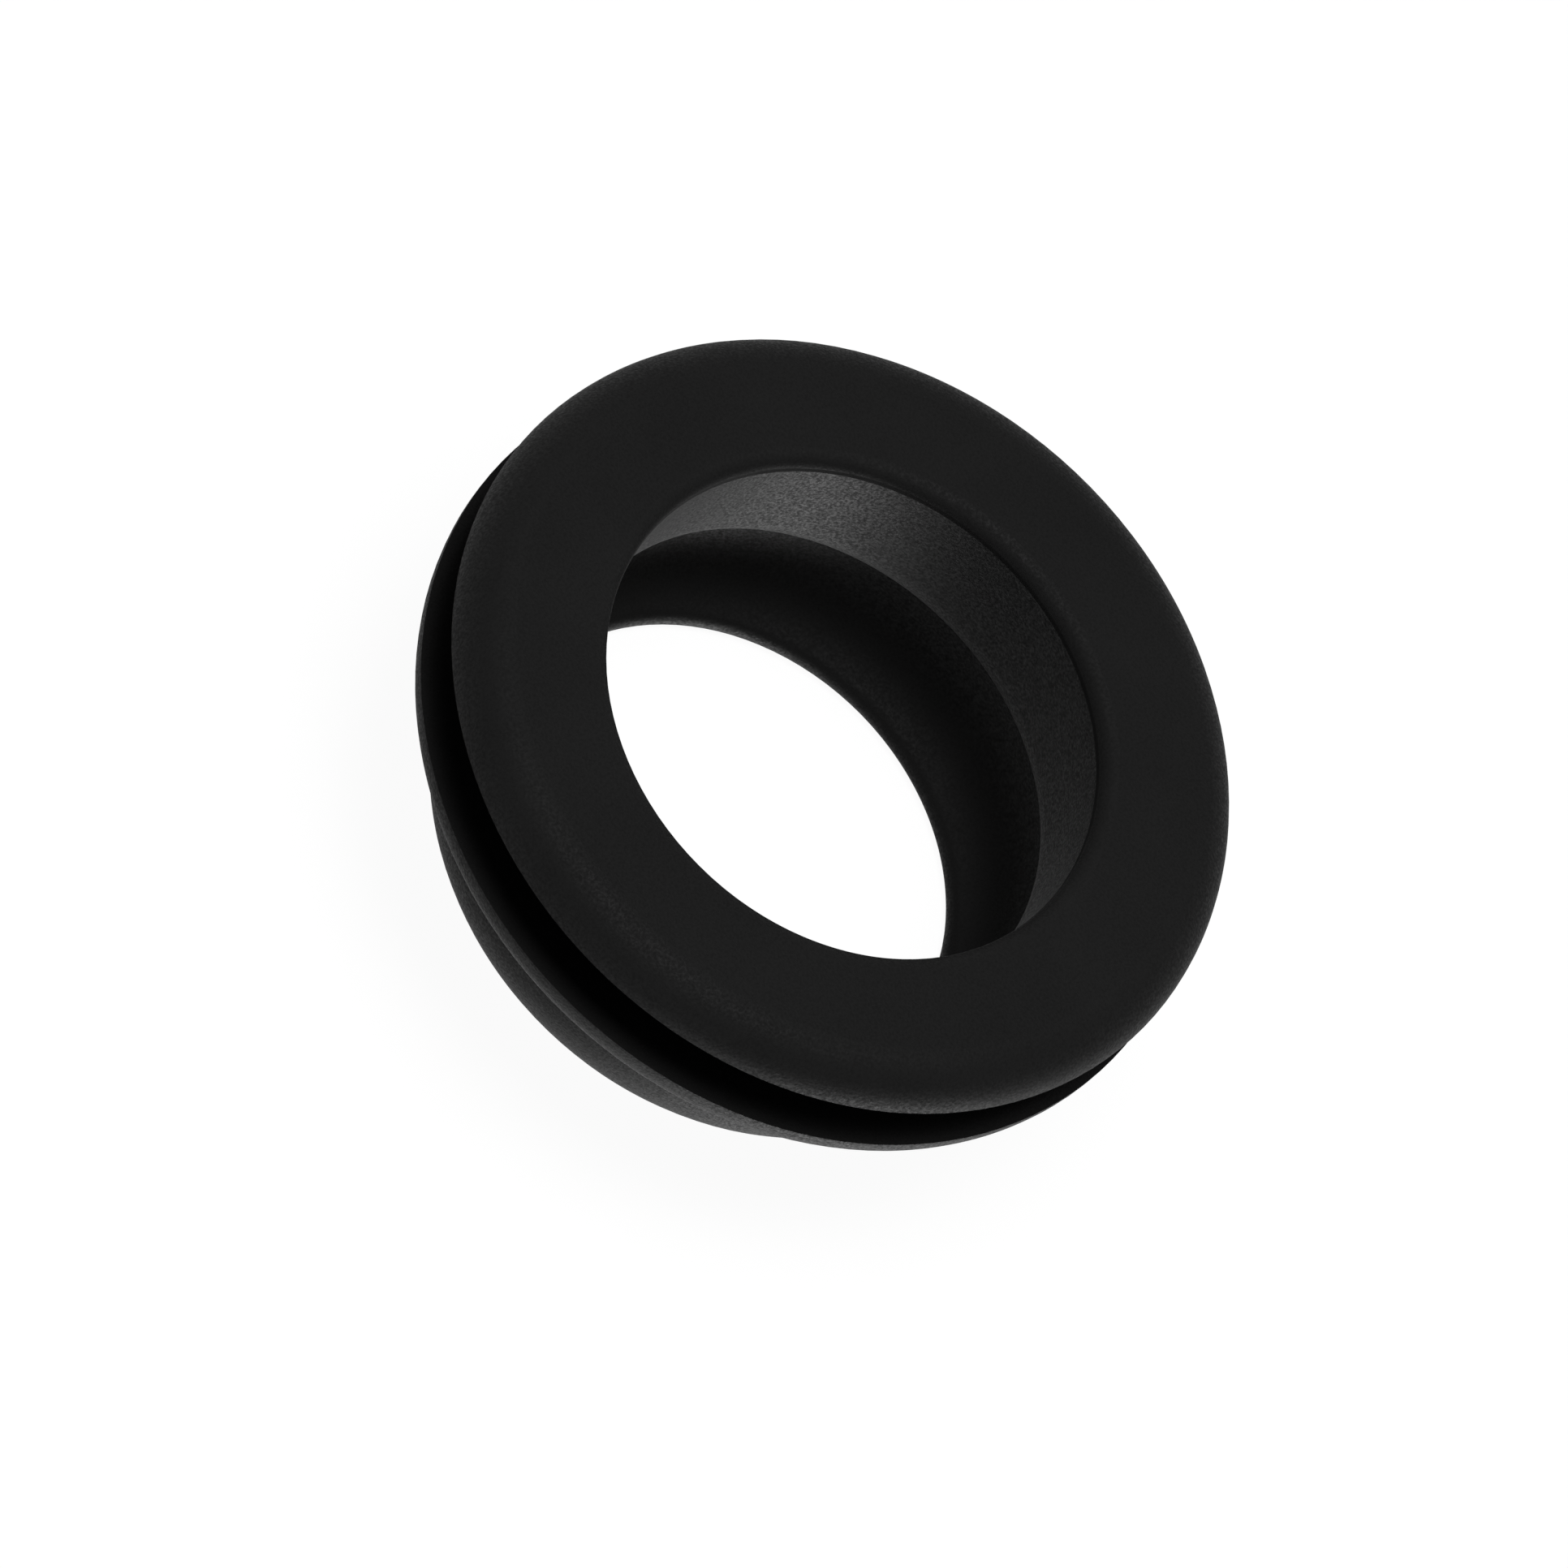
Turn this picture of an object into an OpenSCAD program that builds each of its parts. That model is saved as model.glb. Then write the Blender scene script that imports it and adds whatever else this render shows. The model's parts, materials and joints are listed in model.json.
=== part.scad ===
// Flanged panel grommet: one round rubber moulding with two flanges, a groove
// for the edge of a panel, a round bore, and a hollow domed skirt behind it
// whose rolled lip leaves an open throat.
// Millimetres. +Z runs along the axis towards the front face. The origin is on
// the axis, in the plane of the skirt's rearmost rim.

/* [Front flange] */
// Outer diameter of the front flange
front_d = 40; // [38:0.1:44]
// Thickness of the front flange
front_t = 2.15; // [1.8:0.05:3]
// Radius of the front flange's rounded edge
front_round = 2.35; // [1:0.05:2.5]

/* [Panel groove] */
// Width of the groove, for a panel 3.2 thick
groove_w = 3.4; // [2.4:0.1:5]
// Diameter of the groove's floor, for a 32 hole in the panel
groove_d = 32; // [31:0.1:34]

/* [Rear flange] */
// Outer diameter of the rear flange
rear_d = 40; // [38:0.05:44]
// Thickness of the rear flange
rear_t = 2.35; // [2.3:0.05:3.5]
// Radius of the rear flange's rounded edge
rear_round = 2.2; // [1:0.05:2.25]

/* [Bore] */
// Diameter of the bore
bore_d = 25.4; // [23:0.1:27]
// Radius of the bore's rounded front edge
bore_round = 0.83; // [0.2:0.01:1.2]
// How far the bore's collar runs into the skirt, behind the rear flange
collar_run = 0.86; // [0.3:0.02:1.5]

/* [Skirt] */
// Height of the skirt behind the rear flange
skirt_h = 8.55; // [8.3:0.05:12]
// Outer diameter of the skirt
skirt_d = 32.65; // [31:0.05:33.5]
// Wall of the skirt, and diameter of its rolled lip
skirt_wall = 1.44; // [1:0.02:1.8]
// Outer radius of the dome that turns the skirt inwards
dome_round = 5.53; // [4.5:0.01:6.2]
// Diameter of the throat inside the lip
throat_d = 23.85; // [22.5:0.05:25.5]

/* [Hidden] */

round_fn = 180;
turn_fn = 240;

front_r = front_d / 2;
groove_r = groove_d / 2;
rear_r = rear_d / 2;
bore_r = bore_d / 2;
skirt_r = skirt_d / 2;
throat_r = throat_d / 2;

// Levels up the axis
groove_z = skirt_h + rear_t;
seat_z = groove_z + groove_w;
face_z = seat_z + front_t;

// The hollow inside the skirt, and the collar's rounded rear edge above it
hollow_r = skirt_r - skirt_wall;
hollow_z = skirt_h - collar_run;
collar_round = hollow_r - bore_r;

// The lip is a full round on the dome's mid-line, with its lowest point at 0
lip_r = skirt_wall / 2;
lip_at = [throat_r + lip_r, lip_r];
dome_mid = dome_round - lip_r;
dome_x = skirt_r - dome_round;
dome_z = lip_r + sqrt(pow(dome_mid, 2) - pow(lip_at.x - dome_x, 2));
dome_at = [dome_x, dome_z];
lip_off = lip_at - dome_at;

// A rectangle between two corners
module box2(low, high) {
    translate(low) square(high - low);
}

// A quarter disc: sx and sy say which way it bulges from its centre
module quarter(centre, r, sx, sy) {
    translate(centre) intersection() {
        circle(r, $fn = round_fn);
        translate([sx < 0 ? -r : 0, sy < 0 ? -r : 0]) square(r);
    }
}

// Half section of the front flange, its rounded edge cut off at the seat
module front_flange() {
    cut = max(0, front_round - front_t);
    rim_x = front_r - sqrt(pow(front_round, 2) - pow(cut, 2));
    box2([groove_r, seat_z], [rim_x, face_z]);
    intersection() {
        quarter([rim_x, face_z - front_round], front_round, 1, 1);
        box2([rim_x, seat_z], [front_r + 1, face_z + 1]);
    }
}

// Half section of the rear flange: a short land, then a rounded edge
module rear_flange() {
    rim_x = rear_r - rear_round;
    land_z = skirt_h + rear_round;
    box2([groove_r, skirt_h], [rim_x, groove_z]);
    box2([rim_x, land_z], [rear_r, groove_z]);
    quarter([rim_x, land_z], rear_round, 1, -1);
}

// Half section of the collar round the bore, with both its edges rounded
module collar() {
    edge_z = hollow_z + collar_round;
    box2([bore_r, edge_z], [bore_r + bore_round, face_z - bore_round]);
    quarter([bore_r + bore_round, face_z - bore_round], bore_round, -1, 1);
    box2([bore_r + bore_round, edge_z], [hollow_r, face_z]);
    quarter([hollow_r, edge_z], collar_round, -1, -1);
    box2([hollow_r, hollow_z], [skirt_r, skirt_h]);
    box2([hollow_r, skirt_h], [groove_r, face_z]);
}

// Half section of the skirt: a straight wall, the dome and the rolled lip.
// The line from the dome's centre through the lip's centre parts the two.
module skirt() {
    reach = 2 * dome_round;
    box2([hollow_r, dome_z], [skirt_r, hollow_z]);
    translate(dome_at) {
        intersection() {
            difference() {
                circle(dome_round, $fn = round_fn);
                circle(dome_round - skirt_wall, $fn = round_fn);
            }
            polygon([[0, 0], [reach, 0], [reach, -reach], 2 * lip_off]);
        }
        translate(lip_off) circle(lip_r, $fn = round_fn);
    }
}

module grommet() {
    color([0.1, 0.1, 0.1])
    rotate_extrude($fn = turn_fn) {
        front_flange();
        rear_flange();
        collar();
        skirt();
    }
}

grommet();
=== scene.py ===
import bpy, json, math
from mathutils import Matrix, Vector

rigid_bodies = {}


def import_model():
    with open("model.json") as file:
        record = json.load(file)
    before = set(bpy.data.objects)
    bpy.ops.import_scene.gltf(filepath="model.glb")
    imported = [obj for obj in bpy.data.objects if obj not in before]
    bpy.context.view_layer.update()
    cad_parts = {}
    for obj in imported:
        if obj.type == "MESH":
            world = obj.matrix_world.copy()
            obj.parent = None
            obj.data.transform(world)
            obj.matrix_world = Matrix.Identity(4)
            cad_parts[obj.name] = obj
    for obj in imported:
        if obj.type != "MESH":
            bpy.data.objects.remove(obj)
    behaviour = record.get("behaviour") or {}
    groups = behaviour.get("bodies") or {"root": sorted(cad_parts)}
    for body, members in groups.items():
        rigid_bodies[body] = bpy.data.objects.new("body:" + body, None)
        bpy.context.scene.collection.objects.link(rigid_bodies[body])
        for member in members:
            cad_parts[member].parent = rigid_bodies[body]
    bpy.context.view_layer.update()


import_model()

scene = bpy.context.scene

# ---------------------------------------------------------------- part, metres
HEIGHT = 0.01645
CENTRE = Vector((0.0, 0.0, HEIGHT / 2))
EDGE_R, EDGE_Z = 0.0127, 0.01562   # where the bore's rounded front edge meets its wall

# ---------------------------------------------------------------- picture
PICTURE = 1932               # pixels along each side
PIXEL = 0.000037987          # metres that one of them covers
TILT = math.radians(37.08)   # between the part's axis and the line of sight
ROLL = math.radians(45.56)   # of the projected axis above the picture's x axis
CAMERA_BACK = 0.5            # from the centre; it has no effect on the size

# ---------------------------------------------------------------- rubber
SPECULAR = 0.13
DARK_TONE, LIGHT_TONE = 0.0088, 0.0109   # the base colour drifts between these
LEAST_ROUGH, MOST_ROUGH = 0.55, 0.83
# scale, detail and roughness of each noise
DRIFT = (160, 3, 0.55)
PEBBLE = (2200, 2, 0.5)
GRAIN = (7000, 1, 0.6)
NOISE_ENDS = (0.3, 0.7)      # the noise values that give the two ends of a range
PEBBLE_DEPTH, GRAIN_DEPTH = 0.00001, 0.00002
# The mould line. Each pair says where it is absent and where it is full: up
# from EDGE_Z at its foot and at its top, and out from EDGE_R.
LINE_FOOT = (-0.00008, -0.00003)
LINE_TOP = (0.0004, 0.00018)
LINE_REACH = (0.0008, 0.0004)

# ---------------------------------------------------------------- stage
STAGE_GREY = 0.6
STAGE_GLOW = 0.85            # the share of the stage that is seen as glow
FLOOR_BRIGHT, BACKDROP_BRIGHT = 1.12, 1.18
FLOOR_HALF = 3.0
BACKDROP_SIDES, BACKDROP_R = 64, 2.5
BACKDROP_LOW, BACKDROP_HIGH = -1.0, 1.2
FILL = 0.03                  # strength of the world's even light


# ---------------------------------------------------------------- camera
def make_camera():
    data = bpy.data.cameras.new("camera")
    data.type = "ORTHO"
    data.ortho_scale = PICTURE * PIXEL
    data.clip_start, data.clip_end = 0.01, 10.0
    cam = bpy.data.objects.new("camera", data)
    scene.collection.objects.link(cam)
    back = Vector((0.0, -math.sin(TILT), math.cos(TILT)))
    rise = Vector((0.0, math.cos(TILT), math.sin(TILT)))
    side = Vector((1.0, 0.0, 0.0))
    x_axis = side * math.sin(ROLL) + rise * math.cos(ROLL)
    y_axis = rise * math.sin(ROLL) - side * math.cos(ROLL)
    rot = Matrix((x_axis, y_axis, back)).transposed()
    cam.matrix_world = Matrix.Translation(CENTRE + back * CAMERA_BACK) @ rot.to_4x4()
    scene.camera = cam


# ---------------------------------------------------------------- node helpers
def new_material(name):
    mat = bpy.data.materials.new(name)
    mat.use_nodes = True
    mat.node_tree.nodes.clear()
    return mat, mat.node_tree


def node(tree, kind, **values):
    """A new node. Each value goes to the socket of its name, or else to the setting."""
    n = tree.nodes.new(kind)
    for key, value in values.items():
        if key in n.inputs:
            n.inputs[key].default_value = value
        else:
            setattr(n, key, value)
    return n


def grey(level):
    return (level, level, level, 1)


def background_ray(tree):
    """1 where a camera, glossy or transmission ray looks at it, else 0."""
    path = node(tree, "ShaderNodeLightPath")
    a = node(tree, "ShaderNodeMath", operation="MAXIMUM")
    b = node(tree, "ShaderNodeMath", operation="MAXIMUM")
    tree.links.new(path.outputs["Is Camera Ray"], a.inputs[0])
    tree.links.new(path.outputs["Is Glossy Ray"], a.inputs[1])
    tree.links.new(a.outputs[0], b.inputs[0])
    tree.links.new(path.outputs["Is Transmission Ray"], b.inputs[1])
    return b.outputs[0]


# ---------------------------------------------------------------- materials
def rubber_material():
    """Matt black rubber: a slow drift of tone, a fine grain in gloss and relief,
    and the dull line that the mould leaves where the bore's rounded edge ends."""
    mat, tree = new_material("black_rubber")
    link = tree.links.new
    out = node(tree, "ShaderNodeOutputMaterial")
    bsdf = node(tree, "ShaderNodeBsdfPrincipled")
    bsdf.inputs["Specular IOR Level"].default_value = SPECULAR
    place = node(tree, "ShaderNodeTexCoord").outputs["Object"]

    def noise(scale, detail, rough):
        n = node(tree, "ShaderNodeTexNoise", Scale=scale, Detail=detail, Roughness=rough)
        link(place, n.inputs["Vector"])
        return n.outputs["Fac"]

    def mapped(value, low, high, to_low=0.0, to_high=1.0):
        m = node(tree, "ShaderNodeMapRange")
        ends = {"From Min": low, "From Max": high, "To Min": to_low, "To Max": to_high}
        for key, number in ends.items():
            m.inputs[key].default_value = number
        link(value, m.inputs["Value"])
        return m.outputs["Result"]

    def math_node(operation, *values):
        m = node(tree, "ShaderNodeMath", operation=operation)
        for socket, value in zip(m.inputs, values):
            link(value, socket)
        return m.outputs[0]

    def mixed(factor, *colours):
        m = node(tree, "ShaderNodeMix", data_type="RGBA")
        link(factor, m.inputs["Factor"])
        sockets = [s for s in m.inputs if s.type == "RGBA"]
        for socket, colour in zip(sockets, colours):
            socket.default_value = colour
        return next(s for s in m.outputs if s.type == "RGBA")

    drift = noise(*DRIFT)
    pebble = noise(*PEBBLE)
    grain = noise(*GRAIN)

    # the mould line: a thin ring at the foot of the bore's rounded front edge
    axes = node(tree, "ShaderNodeSeparateXYZ")
    link(place, axes.inputs[0])
    x, y, z = axes.outputs
    squares = math_node("ADD", math_node("MULTIPLY", x, x), math_node("MULTIPLY", y, y))
    radius = math_node("SQRT", squares)
    reach = mapped(radius, *(EDGE_R + d for d in LINE_REACH))
    foot = mapped(z, *(EDGE_Z + d for d in LINE_FOOT))
    top = mapped(z, *(EDGE_Z + d for d in LINE_TOP))
    line = math_node("MULTIPLY", math_node("MULTIPLY", foot, top), reach)

    tone = mixed(mapped(drift, *NOISE_ENDS), grey(DARK_TONE), grey(LIGHT_TONE))
    link(tone, bsdf.inputs["Base Color"])
    dull = mapped(grain, *NOISE_ENDS, LEAST_ROUGH, MOST_ROUGH)
    link(math_node("MAXIMUM", dull, line), bsdf.inputs["Roughness"])

    normal = None
    for height, depth in ((grain, GRAIN_DEPTH), (pebble, PEBBLE_DEPTH)):
        bump = node(tree, "ShaderNodeBump", Strength=1.0, Distance=depth)
        link(height, bump.inputs["Height"])
        if normal:
            link(normal, bump.inputs["Normal"])
        normal = bump.outputs["Normal"]
    link(normal, bsdf.inputs["Normal"])
    link(bsdf.outputs[0], out.inputs["Surface"])
    return mat


def stage_material(name, brightness):
    """Pale grey, and seen by the camera and in reflections as white. The lamps
    still light the part of it that keeps its grey, so it holds a soft shadow."""
    mat, tree = new_material(name)
    out = node(tree, "ShaderNodeOutputMaterial")
    diffuse = node(tree, "ShaderNodeBsdfDiffuse", Color=grey(STAGE_GREY))
    glow = node(tree, "ShaderNodeEmission", Color=grey(1), Strength=brightness)
    mix = node(tree, "ShaderNodeMixShader")
    scale = node(tree, "ShaderNodeMath", operation="MULTIPLY")
    scale.inputs[1].default_value = STAGE_GLOW
    tree.links.new(background_ray(tree), scale.inputs[0])
    tree.links.new(scale.outputs[0], mix.inputs[0])
    tree.links.new(diffuse.outputs[0], mix.inputs[1])
    tree.links.new(glow.outputs[0], mix.inputs[2])
    tree.links.new(mix.outputs[0], out.inputs["Surface"])
    return mat


# ---------------------------------------------------------------- stage
def stage_mesh(name, verts, faces, material):
    mesh = bpy.data.meshes.new(name)
    mesh.from_pydata(verts, [], faces)
    mesh.materials.append(material)
    obj = bpy.data.objects.new(name, mesh)
    scene.collection.objects.link(obj)
    obj.visible_shadow = False


def make_stage():
    """A pale floor inside a low round backdrop. Neither blocks a lamp."""
    s = FLOOR_HALF
    corners = [(-s, -s, 0), (s, -s, 0), (s, s, 0), (-s, s, 0)]
    stage_mesh("floor", corners, [(0, 1, 2, 3)], stage_material("pale_floor", FLOOR_BRIGHT))
    count = BACKDROP_SIDES
    angles = [2 * math.pi * i / count for i in range(count)]
    ring = [(BACKDROP_R * math.cos(a), BACKDROP_R * math.sin(a)) for a in angles]
    verts = [(x, y, z) for z in (BACKDROP_LOW, BACKDROP_HIGH) for x, y in ring]
    faces = [(i, (i + 1) % count, count + (i + 1) % count, count + i) for i in range(count)]
    stage_mesh("backdrop", verts, faces, stage_material("pale_backdrop", BACKDROP_BRIGHT))


def area_light(name, azimuth, elevation, distance, size, power):
    """A square soft box aimed at the part; azimuth runs anticlockwise from +X."""
    data = bpy.data.lights.new(name, "AREA")
    data.shape = "SQUARE"
    data.size = size
    data.energy = power
    obj = bpy.data.objects.new(name, data)
    scene.collection.objects.link(obj)
    a, e = math.radians(azimuth), math.radians(elevation)
    way = Vector((math.cos(a) * math.cos(e), math.sin(a) * math.cos(e), math.sin(e)))
    obj.location = CENTRE + way * distance
    obj.rotation_mode = "QUATERNION"
    obj.rotation_quaternion = way.to_track_quat("Z", "Y")


def make_world():
    world = bpy.data.worlds.new("studio")
    scene.world = world
    world.use_nodes = True
    tree = world.node_tree
    tree.nodes.clear()
    out = node(tree, "ShaderNodeOutputWorld")
    fill = node(tree, "ShaderNodeBackground", Color=grey(1), Strength=FILL)
    tree.links.new(fill.outputs[0], out.inputs["Surface"])


# ---------------------------------------------------------------- build
make_camera()
make_stage()
make_world()
# the second lamp is below the floor, and shines up through the bore
area_light("top", azimuth=-90, elevation=86, distance=0.7, size=0.4, power=3.5)
area_light("low", azimuth=-12, elevation=-49, distance=0.6, size=0.25, power=3.6)

rubber = rubber_material()
for obj in list(bpy.data.objects):
    if obj.type == "MESH" and obj.name.startswith("grommet"):
        for slot in obj.material_slots:
            slot.material = rubber

scene.view_settings.view_transform = "Standard"
